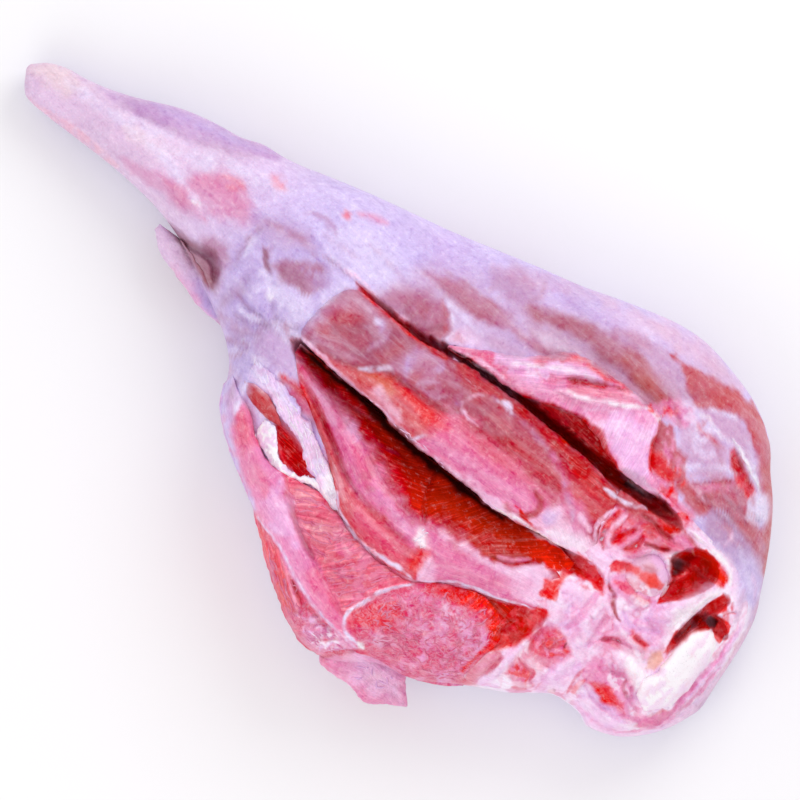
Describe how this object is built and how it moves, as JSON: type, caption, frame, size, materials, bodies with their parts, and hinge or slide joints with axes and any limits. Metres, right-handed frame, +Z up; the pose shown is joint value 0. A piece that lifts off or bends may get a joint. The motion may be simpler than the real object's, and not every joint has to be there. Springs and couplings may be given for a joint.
{
  "type": "raw leg of lamb",
  "caption": "Raw bone-in leg of lamb lying on its outer side, with the slit inner muscles, the thigh bone's ball and the sawn hip bone in view.",
  "frame": {"origin": "on the surface it rests on, under the middle of the leg's box", "axes": "+X from the shank's tip to the butt, +Y to the smooth front edge of the thigh, +Z up"},
  "size_m": [0.4208, 0.2258, 0.0908],
  "materials": {
    "raw_meat": "wet raw muscle under a pale membrane",
    "bone": "damp bone and cartilage"
  },
  "bodies": {
    "root": {"leg_meat": "raw_meat", "femur_head": "bone", "hip_bone": "bone"}
  },
  "joints": []
}
